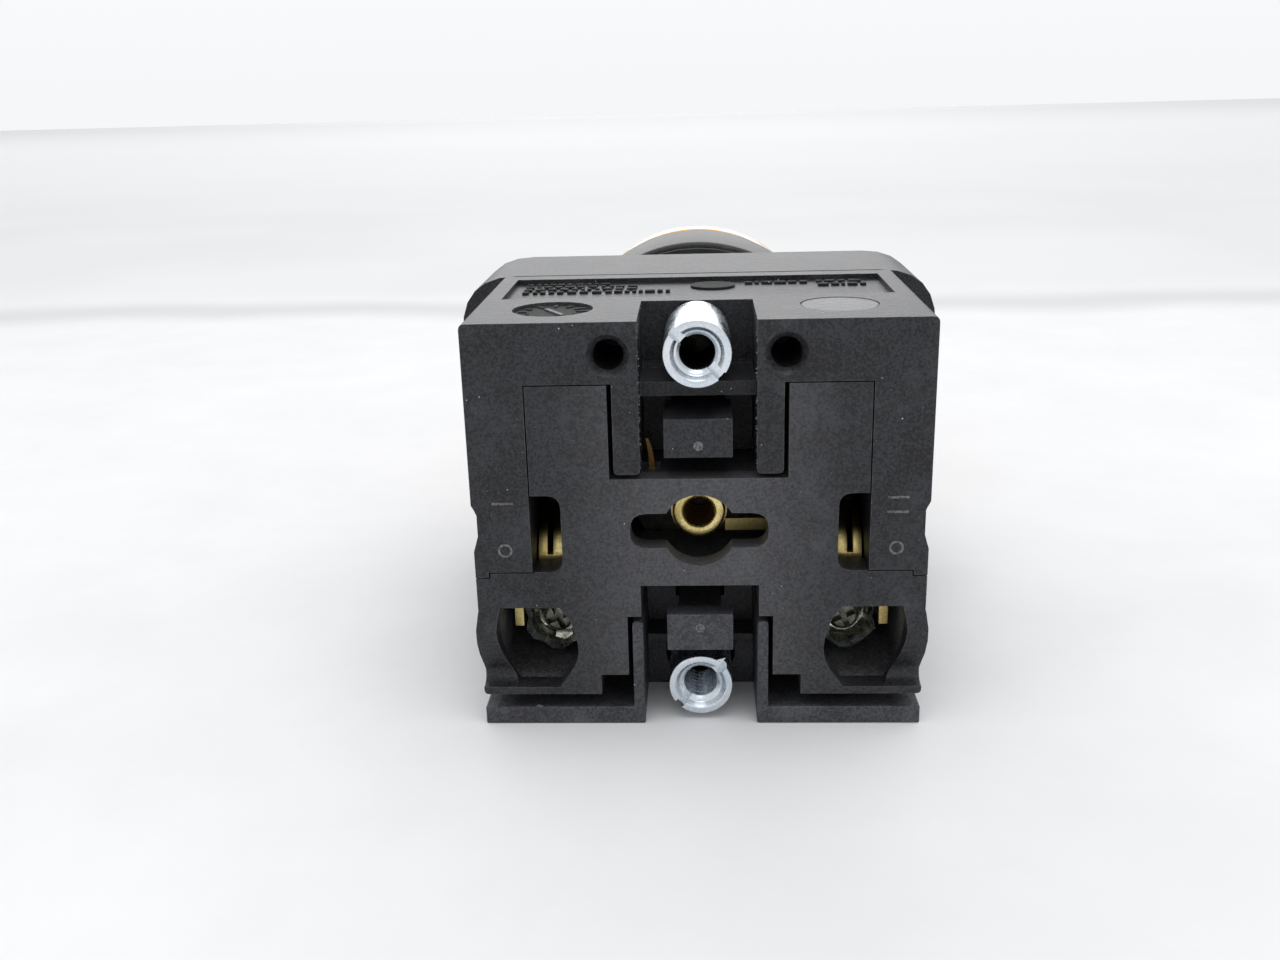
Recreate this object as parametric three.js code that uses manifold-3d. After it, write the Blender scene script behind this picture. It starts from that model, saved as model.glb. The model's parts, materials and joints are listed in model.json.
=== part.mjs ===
// Illuminated push button for a 22 mm panel hole, lying on its flat side.
//
// Every outline below uses the same working axes, in millimetres:
//   x  to the right, as seen from behind the lamp block
//   y  up, away from the surface that the part lies on
//   d  depth, from the lamp block's rear face (0) forward to the lens
// The assembly is turned once, at the end: +Z up, the lens towards -Y, +Y out of the rear face,
// and the origin at the middle of the base. Left and right in names are as seen from the front.
import * as THREE from 'three';
import { mergeVertices } from 'three/addons/utils/BufferGeometryUtils.js';
import Module from 'manifold-3d';

// Driving dimensions
const GAP = 0.3; // air left between neighbouring pieces
const AXIS_Y = 14.2; // height of the button's axis
const TRAVEL = 4; // how far the button is pressed
const TOTAL_LENGTH = 61.5;

const BLOCK = { halfWidth: 15, height: 28.15, depth: 19.3, wall: 1.6 };
const COLLAR = { halfWidth: 18.5, near: 19.6, far: 30.4, web: 4, corner: 4.5, throat: 8.6, bore: 11.4 };
const BARREL = {
  near: 24, lip: 41.6, far: 42.6, radius: 11, inner: 9.8, ledge: 0.8, throat: 7.7, flange: 12.1,
};
const BEZEL = { near: 41.2, far: 51.3, radius: 13.55, inner: 13, edge: 0.7, floor: 0.6 };
const GASKET = { near: 40.4, far: 40.9, inner: 11.35, outer: 13.1 };
const LENS = {
  near: BARREL.far + 2 * GAP + BEZEL.floor + TRAVEL, radius: 12.7, wall: 1, crown: 13.1, shoulder: 58,
};
const SLEEVE = { near: 23.7, inner: 6, outer: 7.2, plate: 49.1, rim: 55.6, rimRadius: 11.2 };
const SPRING = { near: 25.1, far: 40.2, radius: 8.5, wire: 0.42, turns: 6 };
const LAMP = { tip: 8.2, shell: 9.8, shellEnd: 20, glassEnd: 36.6, shellRadius: 4.5, glassRadius: 5 };
const CHAMBER = { near: 9, radius: 5.6 }; // round space for the lamp holder

const SLOT = { halfWidth: 3.78, depth: 7.35, prongWidth: 1.72, prongBottom: 18.1 }; // upper screw slot
const PIT = { halfWidth: 3.95, top: 10.3, depth: 8.5 }; // lower screw slot
const RAIL = { inner: 3.85, outer: 14.95, thickness: 1.26, legWidth: 0.75, legTop: 7.65 };
const UPPER_SCREW_Y = 26;
const LOWER_SCREW_Y = 2.6;
const SCREW = { sleeve: 2.19, bore: 1.09, shank: 1.2, end: 23.4, clear: 1.5 }; // stacking screws
const ROD = { halfWidth: 2.23, blade: 1.5, far: 23.4 };
const UPPER_ROD = { bottom: 19.2, bladeBottom: 20, bladeTop: 21.8, top: 21.8, head: 5.2 };
const LOWER_ROD = { bottom: 5.55, bladeBottom: 6.2, bladeTop: 7.45, top: 8.2, head: 1.45 };
const MOUTH_FLOOR = 2.8; // of the terminal's opening
const WELL = { inner: 7.4, outer: 13.9, bottom: 2.75, top: 8.73, depth: 12 }; // terminal chamber
const TERMINAL = { x: 10.1, y: 6.1 }; // terminal screw axis, on either side
const CLAMP = { x: 16.35, radius: 1.35, mouth: 1.95, near: 20, far: 33.5 }; // clamp screws
const PAST = 1; // how far a cut runs past the face that it opens

const FINE = 48; // sides of the large rings
const MEDIUM = 28;
const COARSE = 20;

const wasm = await Module();
wasm.setup();

// ---- Solids from three.js geometry ----

function solidFrom(geometry) {
  const bare = geometry.clone();
  bare.deleteAttribute('normal');
  bare.deleteAttribute('uv');
  const welded = mergeVertices(bare, 1e-5);
  const index = welded.index.array;
  const triangles = [];
  for (let i = 0; i < index.length; i += 3) {
    const [a, b, c] = [index[i], index[i + 1], index[i + 2]];
    if (a !== b && b !== c && c !== a) {
      triangles.push(a, b, c);
    }
  }
  const vertProperties = new Float32Array(welded.attributes.position.array);
  const triVerts = new Uint32Array(triangles);
  return new wasm.Manifold(new wasm.Mesh({ numProp: 3, vertProperties, triVerts }));
}

function geometryFrom(solid) {
  const mesh = solid.getMesh();
  const geometry = new THREE.BufferGeometry();
  geometry.setAttribute('position', new THREE.BufferAttribute(mesh.vertProperties, mesh.numProp));
  geometry.setIndex(new THREE.BufferAttribute(mesh.triVerts, 1));
  geometry.computeVertexNormals();
  return geometry;
}

// A box between two corners. Both x values may be given on the wrong side of each other.
function box(x0, x1, y0, y1, near, far) {
  const width = Math.abs(x1 - x0);
  const geometry = new THREE.BoxGeometry(width, y1 - y0, far - near);
  geometry.translate((x0 + x1) / 2, (y0 + y1) / 2, -(near + far) / 2);
  return solidFrom(geometry);
}

// A closed outline whose corners [x, y, radius] are rounded where a radius is given.
function outline(corners) {
  const shape = new THREE.Shape();
  const points = corners.map(([x, y]) => new THREE.Vector2(x, y));
  corners.forEach(([, , radius = 0], i) => {
    const corner = points[i];
    const before = points[(i + points.length - 1) % points.length];
    const after = points[(i + 1) % points.length];
    const start = before.clone().sub(corner).setLength(radius).add(corner);
    const end = after.clone().sub(corner).setLength(radius).add(corner);
    if (i === 0) {
      shape.moveTo(start.x, start.y);
    } else {
      shape.lineTo(start.x, start.y);
    }
    if (radius > 0) {
      shape.quadraticCurveTo(corner.x, corner.y, end.x, end.y);
    }
  });
  shape.closePath();
  return shape;
}

// The corners of an outline that is the same on both sides of x = 0, from those on its right.
function bothSides(half) {
  const left = half.map(([x, y, radius]) => [-x, y, radius]).reverse();
  return half.concat(left);
}

function onSide(side, corners) {
  return corners.map(([x, y, radius]) => [side * x, y, radius]);
}

function extrude(shape, near, far, curveSegments = 4) {
  const settings = { depth: far - near, bevelEnabled: false, curveSegments };
  const geometry = new THREE.ExtrudeGeometry(shape, settings);
  geometry.translate(0, 0, -far);
  return solidFrom(geometry);
}

// An outline of (-depth, y) drawn out along x.
function extrudeAcross(shape, x0, x1) {
  const settings = { depth: Math.abs(x1 - x0), bevelEnabled: false, curveSegments: 8 };
  const geometry = new THREE.ExtrudeGeometry(shape, settings);
  geometry.rotateY(-Math.PI / 2);
  geometry.translate(Math.max(x0, x1), 0, 0);
  return solidFrom(geometry);
}

// A turned piece about a line of constant x and y. Its profile is a loop of [radius, depth].
function turn(profile, segments = MEDIUM, x = 0, y = AXIS_Y) {
  const loop = profile.map(([radius, depth]) => new THREE.Vector2(radius, depth));
  if (THREE.ShapeUtils.area(loop) < 0) {
    loop.reverse();
  }
  loop.push(loop[0].clone());
  const geometry = new THREE.LatheGeometry(loop, segments);
  geometry.rotateX(-Math.PI / 2);
  geometry.translate(x, y, 0);
  return solidFrom(geometry);
}

function rod(radius, near, far, segments = MEDIUM, x = 0, y = AXIS_Y) {
  return turn([[0, near], [radius, near], [radius, far], [0, far]], segments, x, y);
}

// A straight driver slot across a screw's end, turned by an angle from level.
function driverSlot(length, width, near, far, angle, x, y) {
  const geometry = new THREE.BoxGeometry(length, width, far - near);
  geometry.rotateZ(angle);
  geometry.translate(x, y, -(near + far) / 2);
  return solidFrom(geometry);
}

function join(first, ...others) {
  return others.reduce((whole, other) => whole.add(other), first);
}

function cut(first, ...others) {
  return others.reduce((whole, other) => whole.subtract(other), first);
}

// ---- Materials ----

function material(color, roughness, metalness) {
  return new THREE.MeshStandardMaterial({ color, roughness, metalness });
}

const PLASTIC = material(0x2b2b2e, 0.6, 0);
const AMBER = material(0xe8921c, 0.2, 0);
const WHITE = material(0xe9e6dc, 0.6, 0);
const RUBBER = material(0x1a1a1b, 0.9, 0);
const ZINC = material(0xc4cbd2, 0.3, 1);
const BRASS = material(0xc09a3e, 0.35, 1);
const STEEL = material(0x9a9ea2, 0.35, 1);
const GLASS = material(0xf4f2ea, 0.05, 0);
const FIBRE = material(0x5a4632, 0.9, 0);

const parts = new THREE.Group();

function add(name, solid, look) {
  const mesh = new THREE.Mesh(geometryFrom(solid), look);
  mesh.name = name;
  parts.add(mesh);
}

// ---- Operator head ----

// Cap whose crown stays in front of the bezel when it is pressed.
function lensCap() {
  const inner = LENS.radius - LENS.wall;
  const crownEdge = BEZEL.far + TRAVEL + GAP;
  return turn([
    [inner, LENS.near],
    [LENS.radius, LENS.near],
    [LENS.radius, crownEdge],
    [LENS.crown, crownEdge + 0.4],
    [LENS.crown, LENS.shoulder],
    [LENS.crown - 0.35, LENS.shoulder + 1.2],
    [LENS.crown - 1.3, LENS.shoulder + 2.1],
    [LENS.crown - 4.5, LENS.shoulder + 2.95],
    [0, TOTAL_LENGTH],
    [0, TOTAL_LENGTH - 1.5],
    [inner - 1.6, LENS.shoulder + 0.8],
    [inner, LENS.shoulder - 0.6],
  ], FINE);
}

function diffuserPlate() {
  return rod(SLEEVE.rimRadius, SLEEVE.rim + GAP, SLEEVE.rim + GAP + 1, FINE);
}

// Tube that carries the lens, with a stop shoulder, and a cup whose rim holds the diffuser.
function buttonSleeve() {
  const shoulder = BARREL.lip - GAP;
  return turn([
    [SLEEVE.inner, SLEEVE.near],
    [SLEEVE.outer, SLEEVE.near],
    [SLEEVE.outer, shoulder - 0.8],
    [BARREL.inner - 0.4, shoulder - 0.8],
    [BARREL.inner - 0.4, shoulder],
    [SLEEVE.outer, shoulder],
    [SLEEVE.outer, SLEEVE.plate],
    [SLEEVE.rimRadius, SLEEVE.plate],
    [SLEEVE.rimRadius, SLEEVE.rim],
    [SLEEVE.rimRadius - 0.9, SLEEVE.rim],
    [SLEEVE.rimRadius - 0.9, SLEEVE.plate + 1.2],
    [SLEEVE.inner, SLEEVE.plate + 1.2],
  ], FINE);
}

function plungerSeal() {
  const near = BARREL.far + GAP;
  return turn([[7.5, near], [10.3, near], [10.3, near + 0.6], [8.4, near + 0.6], [7.5, near + 1.2]], FINE);
}

function bezelRing() {
  const { near, far, radius, inner, edge, floor: thickness } = BEZEL;
  const floor = BARREL.far + GAP;
  const socket = BARREL.flange + 0.35;
  return turn([
    [socket, near],
    [radius - 0.4, near],
    [radius, near + 0.4],
    [radius, far - edge],
    [radius - 0.25, far - 0.2],
    [radius - 0.5, far],
    [inner, far],
    [inner, floor + thickness],
    [10.6, floor + thickness],
    [10.6, floor],
    [socket, floor],
  ], FINE);
}

// Barrel through the panel, with the key that stops the head from turning in its hole.
function operatorBarrel() {
  const { near, lip, far, radius, inner, ledge, throat, flange } = BARREL;
  const tube = turn([
    [throat, near],
    [radius, near],
    [radius, lip],
    [flange, lip],
    [flange, far],
    [throat, far],
    [throat, lip],
    [inner, lip],
    [inner, near + ledge],
    [throat, near + ledge],
  ], FINE);
  const top = AXIS_Y + radius;
  const key = box(-1.5, 1.5, top - 0.6, top + 1, COLLAR.far + 0.4, GASKET.near - 0.4);
  return join(tube, key);
}

function panelGasket() {
  const { near, far, inner, outer } = GASKET;
  return turn([[inner, near], [outer, near], [outer, far], [inner, far]], FINE);
}

class Helix extends THREE.Curve {
  getPoint(t) {
    const angle = 2 * Math.PI * SPRING.turns * t;
    const depth = THREE.MathUtils.lerp(SPRING.near + SPRING.wire, SPRING.far - SPRING.wire, t);
    const across = SPRING.radius * Math.cos(angle);
    const up = SPRING.radius * Math.sin(angle);
    return new THREE.Vector3(across, AXIS_Y + up, -depth);
  }
}

function returnSpring() {
  const section = new THREE.Shape().absarc(0, 0, SPRING.wire, 0, 2 * Math.PI);
  const settings = { extrudePath: new Helix(), steps: SPRING.turns * 16, curveSegments: 3 };
  return solidFrom(new THREE.ExtrudeGeometry(section, settings));
}

// ---- Mounting collar and its clamp screws ----

function mountingCollar() {
  const { halfWidth, near, far, web, corner, throat, bore } = COLLAR;
  const half = [[halfWidth, 0, corner], [halfWidth, BLOCK.height, corner]];
  const body = extrude(outline(bothSides(half)), near, far, 6);
  const cuts = [
    rod(throat, near - PAST, far, FINE),
    rod(bore, near + web, far + PAST, FINE),
    rod(SCREW.clear, near - PAST, near + web + PAST, COARSE, 0, UPPER_SCREW_Y),
    rod(SCREW.clear, near - PAST, near + web + PAST, COARSE, 0, LOWER_SCREW_Y),
  ];
  for (const side of [-1, 1]) {
    const hole = CLAMP.radius + GAP;
    const profile = [
      [0, near - PAST],
      [CLAMP.mouth, near - PAST],
      [CLAMP.mouth, near],
      [hole, near + GAP],
      [hole, far + PAST],
      [0, far + PAST],
    ];
    cuts.push(turn(profile, COARSE, side * CLAMP.x));
  }
  return cut(body, ...cuts);
}

// Headless slotted screw that presses the collar away from the panel.
function clampScrew(side) {
  const { radius, near, far } = CLAMP;
  const x = side * CLAMP.x;
  const body = turn([
    [0, near],
    [radius - 0.3, near],
    [radius, near + 0.3],
    [radius, far - 0.4],
    [radius - 0.4, far],
    [0, far],
  ], COARSE, x);
  return cut(body, driverSlot(2 * radius + PAST, 0.5, near - PAST, near + 0.8, side * 0.5, x, AXIS_Y));
}

// ---- Lamp block shells ----

// The outer leg, which ends in a small step and has a shallow scallop for a screwdriver.
const LEG = { inner: 11.15, bottom: 11.34, step: 14.1, stepBottom: 10.95 };
const TOP_BAR = 24.15;
const ROOF = { bottom: 16.75, top: 17.3 }; // plate over the room for the lamp's contacts

function legCorners() {
  const edge = BLOCK.halfWidth;
  return [
    [LEG.inner, LEG.bottom],
    [LEG.step, LEG.bottom],
    [LEG.step, LEG.stepBottom],
    [edge, LEG.stepBottom],
    [edge, 12.8],
    [edge - 0.62, 14.9, 0.9],
    [edge, 16.1],
    [edge, BLOCK.height, 0.4],
  ];
}

function upperShell() {
  const { halfWidth, depth, prongWidth, prongBottom } = SLOT;
  const prongOuter = halfWidth + prongWidth;
  const pieces = [];
  for (const side of [-1, 1]) {
    const corners = [
      [halfWidth, BLOCK.height],
      [halfWidth, prongBottom, 0.35],
      [prongOuter, prongBottom, 0.35],
      [prongOuter, TOP_BAR],
      [LEG.inner, TOP_BAR],
      ...legCorners(),
    ];
    pieces.push(extrude(outline(onSide(side, corners)), 0, depth + 0.5));
  }
  const bridge = bothSides([[LEG.inner, TOP_BAR], ...legCorners()]);
  pieces.push(extrude(outline(bridge), depth, BLOCK.depth));
  pieces.push(box(-prongOuter, prongOuter, ROOF.top + GAP, TOP_BAR + PAST, depth, CHAMBER.near));
  pieces.push(box(-prongOuter, prongOuter, prongBottom, TOP_BAR + PAST, BLOCK.depth - 1.5, BLOCK.depth));
  const shelf = halfWidth + 0.2;
  pieces.push(box(-shelf, shelf, 22.7, 23.65, 2.6, depth + 0.2));
  pieces.push(box(-shelf, shelf, 23.6, 24, 6.7, depth + 0.2));
  return cut(join(...pieces), ...upperShellCuts());
}

function upperShellCuts() {
  const top = BLOCK.height;
  const cuts = [
    rod(SCREW.clear, SLOT.depth - PAST, BLOCK.depth + PAST, COARSE, 0, UPPER_SCREW_Y),
    rod(SCREW.sleeve + GAP, 6.4, SLOT.depth, MEDIUM, 0, UPPER_SCREW_Y),
    box(-1.8, 1.8, UPPER_ROD.bladeBottom - GAP, UPPER_ROD.top + GAP, SLOT.depth - PAST, BLOCK.depth + PAST),
    rod(CHAMBER.radius, BLOCK.depth - 2, BLOCK.depth + PAST),
    box(-13.6, 13.6, top - 0.4, top + PAST, 9, 17.6),
    topRecess(-9.55, 4.9, 2.7, 0.3),
    topRecess(9.4, 5.1, 2.6, 0.1),
  ];
  for (const side of [-1, 1]) {
    const x = side * 5.64;
    const mouth = [[0, -PAST], [1.4, -PAST], [1.4, 0], [1, 0.5], [1, 8], [0, 8]];
    cuts.push(turn(mouth, COARSE, x, 25.97));
  }
  return cuts;
}

// A shallow round recess in the top face.
function topRecess(x, depth, radius, deep) {
  const geometry = new THREE.CylinderGeometry(radius, radius, deep + PAST, MEDIUM);
  geometry.translate(x, BLOCK.height - deep + (deep + PAST) / 2, -depth);
  return solidFrom(geometry);
}

const TAB = { outer: LEG.inner - GAP, inner: SLOT.halfWidth + SLOT.prongWidth + GAP, top: TOP_BAR - GAP };
const RECESS_BOTTOM = SLOT.prongBottom - GAP;
const BASE = 2.25; // underside of the lower shell
const WINDOW = { inner: 9.1, bottom: 11.34, top: 16.7, depth: 8.6 };
const PLATE = { near: 6, far: 6.6 }; // terminal plate

function lowerShell() {
  const edge = BLOCK.halfWidth;
  const half = [
    [edge - 0.05, BASE, 0.3],
    [edge, 3.6],
    [edge + 0.55, 6, 2.2],
    [edge, 8.5],
    [edge, LEG.stepBottom - GAP],
    [LEG.step - GAP, LEG.stepBottom - GAP],
    [LEG.step - GAP, LEG.bottom - GAP],
    [TAB.outer, LEG.bottom - GAP],
    [TAB.outer, TAB.top],
    [TAB.inner, TAB.top],
    [TAB.inner, RECESS_BOTTOM],
  ];
  const body = extrude(outline(bothSides(half)), 0, BLOCK.depth);
  const boss = box(-3.5, 3.5, 0.4, BASE + PAST, PIT.depth, BLOCK.depth);
  const cuts = [...hollowCuts(), ...pitCuts(), keyhole(), ...throughHoles()];
  for (const side of [-1, 1]) {
    cuts.push(...windowCuts(side), ...terminalCuts(side));
  }
  return cut(join(body, boss), ...cuts);
}

// The room for the lamp's contacts, with a thin roof that one contact leaf comes up through.
function hollowCuts() {
  const floor = PIT.top + 0.6;
  const back = BLOCK.depth - 1.5;
  const cuts = [
    box(-8.4, 8.4, floor, ROOF.bottom, BLOCK.wall, back),
    box(-TAB.inner - PAST, TAB.inner + PAST, ROOF.top, BLOCK.height, BLOCK.wall, CHAMBER.near + GAP),
    box(-4.4, -2.6, ROOF.bottom - PAST, ROOF.top + PAST, 3.8, 5.4),
    rod(CHAMBER.radius, CHAMBER.near, BLOCK.depth + PAST),
  ];
  for (const side of [-1, 1]) {
    cuts.push(box(side * 7, side * 8.4, ROOF.bottom - PAST, 23, BLOCK.wall, back));
  }
  return cuts;
}

// The stepped slot that takes the lower screw, the lower push rod and the cover's legs.
function pitCuts() {
  const legRoom = RAIL.inner + RAIL.legWidth + GAP;
  return [
    box(-6.8, 6.8, 0, 3.72, -PAST, PIT.depth),
    box(-legRoom, legRoom, 0, 8.05, -PAST, PIT.depth),
    box(-PIT.halfWidth, PIT.halfWidth, 0, PIT.top, -PAST, PIT.depth),
  ];
}

function keyhole() {
  const arm = { end: 4.55, half: 1.2 };
  const slot = outline(bothSides([[arm.end, AXIS_Y - arm.half, 1.1], [arm.end, AXIS_Y + arm.half, 1.1]]));
  return join(extrude(slot, -PAST, 2 * BLOCK.wall), rod(2.47, -PAST, 2 * BLOCK.wall));
}

function throughHoles() {
  const far = BLOCK.depth + PAST;
  return [
    rod(SCREW.clear, PIT.depth - PAST, far, COARSE, 0, LOWER_SCREW_Y),
    box(-1.8, 1.8, LOWER_ROD.bladeBottom - GAP, LOWER_ROD.bladeTop + GAP, PIT.depth - PAST, far),
  ];
}

// The window beside each tab, and the slot below it that the terminal's fork drops into.
function windowCuts(side) {
  const { inner, bottom, top, depth } = WINDOW;
  const past = TAB.outer + PAST;
  const corners = [[inner, bottom, 0.9], [past, bottom], [past, top], [inner, top, 0.9]];
  return [
    extrude(outline(onSide(side, corners)), -PAST, depth),
    box(side * (inner - 0.2), side * 11.2, 9.1, bottom + PAST, 2.35, depth),
    box(side * 9, side * 11.2, WELL.top - PAST, 9.1 + PAST, PLATE.near - GAP, PLATE.far + GAP),
    box(side * 8.2, side * (inner + PAST), 12, 15.5, 3.9, 5.6),
  ];
}

// The terminal's opening and well, and a shallow scoop that guides a wire in from the side.
function terminalCuts(side) {
  const points = (list) => list.map(([x, y]) => new THREE.Vector2(side * x, y));
  const mouth = new THREE.Shape();
  mouth.moveTo(side * 9.66, MOUTH_FLOOR);
  mouth.lineTo(side * 12.6, MOUTH_FLOOR);
  mouth.splineThru(points([[13.3, 4.1], [13.72, 5.5], [13.86, 7], [13.5, WELL.top]]));
  mouth.lineTo(side * 9.5, WELL.top);
  mouth.splineThru(points([[8.83, 7.8], [8.36, 6.2], [8.47, 4.7], [9.66, MOUTH_FLOOR]]));
  const scoop = new THREE.Shape();
  scoop.moveTo(PAST, MOUTH_FLOOR);
  scoop.lineTo(-0.3, MOUTH_FLOOR);
  scoop.quadraticCurveTo(-1.7, 2.9, -1, 4.3);
  scoop.quadraticCurveTo(-0.4, 5.6, 0, 7);
  scoop.lineTo(PAST, 7);
  return [
    extrude(mouth, -PAST, BLOCK.wall + PAST, 3),
    box(side * WELL.inner, side * WELL.outer, WELL.bottom, WELL.top, BLOCK.wall, WELL.depth),
    extrudeAcross(scoop, side * 12.6, side * 17),
  ];
}

// Two rails under the lower shell, their clip legs, and the bar that joins them.
function bottomCover() {
  const { inner, outer, thickness, legWidth, legTop } = RAIL;
  const bar = inner + 0.2;
  const pieces = [box(-bar, bar, 0, 4.05, 6.05, 8.2), box(-bar, bar, 3.3, 4.05, 5.85, 6.5)];
  for (const side of [-1, 1]) {
    const leg = [[inner, 0], [inner + legWidth, 0], [inner + legWidth, legTop, 0.3], [inner, legTop, 0.3]];
    pieces.push(extrude(outline(onSide(side, leg)), 0, 8.2));
    pieces.push(box(side * inner, side * outer, 0, thickness, 0, BLOCK.depth));
  }
  return cut(join(...pieces), rod(SCREW.sleeve + GAP, 5, 9, MEDIUM, 0, LOWER_SCREW_Y));
}

// ---- Lamp and its contacts ----

function lampSocket() {
  const near = CHAMBER.near + GAP;
  const outer = CHAMBER.radius - 0.4;
  const inner = LAMP.shellRadius + 0.35;
  const floor = near + 0.3;
  return turn([[2.6, near], [outer, near], [outer, 17.4], [inner, 17.4], [inner, floor], [2.6, floor]]);
}

function lampBase() {
  const { tip, shell, shellEnd, shellRadius } = LAMP;
  return turn([
    [0, tip],
    [1.2, tip],
    [1.6, tip + 0.4],
    [1.6, shell],
    [shellRadius - 0.5, shell + 0.2],
    [shellRadius, shell + 0.9],
    [shellRadius, shellEnd],
    [0, shellEnd],
  ]);
}

function lampGlass() {
  const { shellEnd, glassEnd, glassRadius } = LAMP;
  return turn([
    [0, shellEnd + GAP],
    [3.6, shellEnd + GAP],
    [4.2, shellEnd + 2.2],
    [glassRadius, shellEnd + 5],
    [glassRadius, glassEnd - 5],
    [glassRadius - 0.8, glassEnd - 2.1],
    [2.5, glassEnd - 0.6],
    [0, glassEnd],
  ]);
}

function contactEyelet() {
  return turn([
    [1.05, 3.8],
    [1.25, 3.6],
    [1.6, 3.6],
    [1.8, 3.8],
    [1.8, 4],
    [1.45, 4.2],
    [1.45, LAMP.tip - GAP],
    [1.05, LAMP.tip - GAP],
  ]);
}

function socketInsulator() {
  return turn([[1.75, 6.2], [2.25, 6.2], [2.25, 7], [1.75, 7]]);
}

// Flat strip from the eyelet to the terminal beside it.
function eyeletStrip() {
  const strip = box(1.8, 8.7, 12.6, 13.5, 4.35, 4.75);
  const ring = turn([[1.75, 4.35], [1.95, 4.35], [1.95, 4.75], [1.75, 4.75]]);
  return join(strip, ring);
}

// Flat strip from the other terminal, with a curved leaf that reaches the lamp holder.
function socketStrip() {
  const leaf = new THREE.Shape();
  leaf.moveTo(-8.7, 14);
  leaf.lineTo(-5.6, 14);
  leaf.quadraticCurveTo(-3.1, 14.2, -2.95, 17);
  leaf.quadraticCurveTo(-3, 18.4, -3.4, 19.3);
  leaf.lineTo(-3.6, 19.3);
  leaf.quadraticCurveTo(-3.35, 18.2, -3.4, 17);
  leaf.quadraticCurveTo(-3.6, 15.3, -5.8, 15.2);
  leaf.lineTo(-8.7, 15.2);
  const foot = box(-5.9, -5.5, 14.1, 15.1, 4.7, 11);
  return join(extrude(leaf, 4.4, 4.8, 6), foot);
}

// ---- Terminals ----

// Plate behind the clamp washer, with a lug at its outer side and a notched test contact that
// stands in the window above.
function terminalPlate(side) {
  const { x, y } = TERMINAL;
  const { near, far } = PLATE;
  const fork = new THREE.Shape();
  fork.moveTo(-2.65, 9.4);
  fork.lineTo(-2.65, 11.5);
  fork.quadraticCurveTo(-2.7, 12.6, -4.9, 14.6);
  fork.lineTo(-5.3, 14.2);
  fork.quadraticCurveTo(-3.3, 12.4, -3.25, 11.5);
  fork.lineTo(-3.25, 9.4);
  const pieces = [
    extrudeAcross(fork, side * 9.2, side * 10.85),
    box(side * 8.3, side * 12.2, 4.3, 8.4, near, far),
    box(side * 12.1, side * 13.25, 8, 8.4, near, far),
    box(side * 12.6, side * 13.25, 8, 8.4, 4.4, far),
    box(side * 12.6, side * 13.25, 5.4, 8.4, 4.4, 4.8),
    box(side * 9.3, side * 10.85, 8.3, 9.8, near, far),
    box(side * 9.3, side * 10.85, 9.4, 9.8, 2.65, far),
  ];
  const notch = box(side * 10.05, side * 10.42, 11.55, 15, 2, 6);
  return cut(join(...pieces), rod(1.25, near - PAST, far + PAST, COARSE, side * x, y), notch);
}

// Cupped washer whose rim stands up around the screw head.
function clampWasher(side) {
  const profile = [[1.2, 5.3], [1.75, 5.3], [1.95, 4], [2.15, 4], [1.95, 5.7], [1.2, 5.7]];
  return turn(profile, MEDIUM, side * TERMINAL.x, TERMINAL.y);
}

function terminalScrew(side) {
  const { x, y } = TERMINAL;
  const centre = side * x;
  const head = [[0, 4.3], [0.95, 4.3], [1.15, 4.5], [1.15, 5]];
  const shank = [[0.9, 5], [0.9, 8], [0.6, 8.3], [0, 8.3]];
  const body = turn([...head, ...shank], COARSE, centre, y);
  const angles = [0.4, 0.4 + Math.PI / 2];
  return cut(body, ...angles.map((angle) => driverSlot(1.7, 0.4, 4, 4.75, side * angle, centre, y)));
}

// ---- Stacking screws and push rods ----

// Hollow slotted screw that a further block's screw threads into.
function stackingScrew(near, shoulder, y, slotAngle) {
  const { sleeve, bore, shank, end } = SCREW;
  const body = turn([
    [0, near + 5.6],
    [bore, near + 5],
    [bore, near + 0.6],
    [1.62, near],
    [sleeve, near],
    [sleeve, shoulder],
    [shank, shoulder],
    [shank, end - 0.3],
    [shank - 0.3, end],
    [0, end],
  ], MEDIUM, 0, y);
  return cut(body, driverSlot(2 * sleeve + PAST, 0.6, near - PAST, near + 0.8, slotAngle, 0, y));
}

function pushRod({ bottom, bladeBottom, bladeTop, top, head }) {
  const { halfWidth, blade, far } = ROD;
  const end = box(-halfWidth, halfWidth, bottom, top, 0, head);
  return join(end, box(-blade, blade, bladeBottom, bladeTop, head - 0.2, far));
}

// ---- Assembly ----

add('lens_cap', lensCap(), AMBER);
add('diffuser_plate', diffuserPlate(), WHITE);
add('button_sleeve', buttonSleeve(), PLASTIC);
add('plunger_seal', plungerSeal(), RUBBER);
add('bezel_ring', bezelRing(), PLASTIC);
add('operator_barrel', operatorBarrel(), PLASTIC);
add('panel_gasket', panelGasket(), RUBBER);
add('return_spring', returnSpring(), STEEL);
add('mounting_collar', mountingCollar(), PLASTIC);
add('upper_shell', upperShell(), PLASTIC);
add('lower_shell', lowerShell(), PLASTIC);
add('bottom_cover', bottomCover(), PLASTIC);
add('lamp_socket', lampSocket(), BRASS);
add('socket_insulator', socketInsulator(), FIBRE);
add('lamp_base', lampBase(), STEEL);
add('lamp_glass', lampGlass(), GLASS);
add('contact_eyelet', contactEyelet(), BRASS);
add('eyelet_strip', eyeletStrip(), BRASS);
add('socket_strip', socketStrip(), BRASS);

for (const [name, side] of [['left', 1], ['right', -1]]) {
  add(`clamp_screw_${name}`, clampScrew(side), ZINC);
  add(`terminal_plate_${name}`, terminalPlate(side), BRASS);
  add(`clamp_washer_${name}`, clampWasher(side), STEEL);
  add(`terminal_screw_${name}`, terminalScrew(side), STEEL);
}

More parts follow.
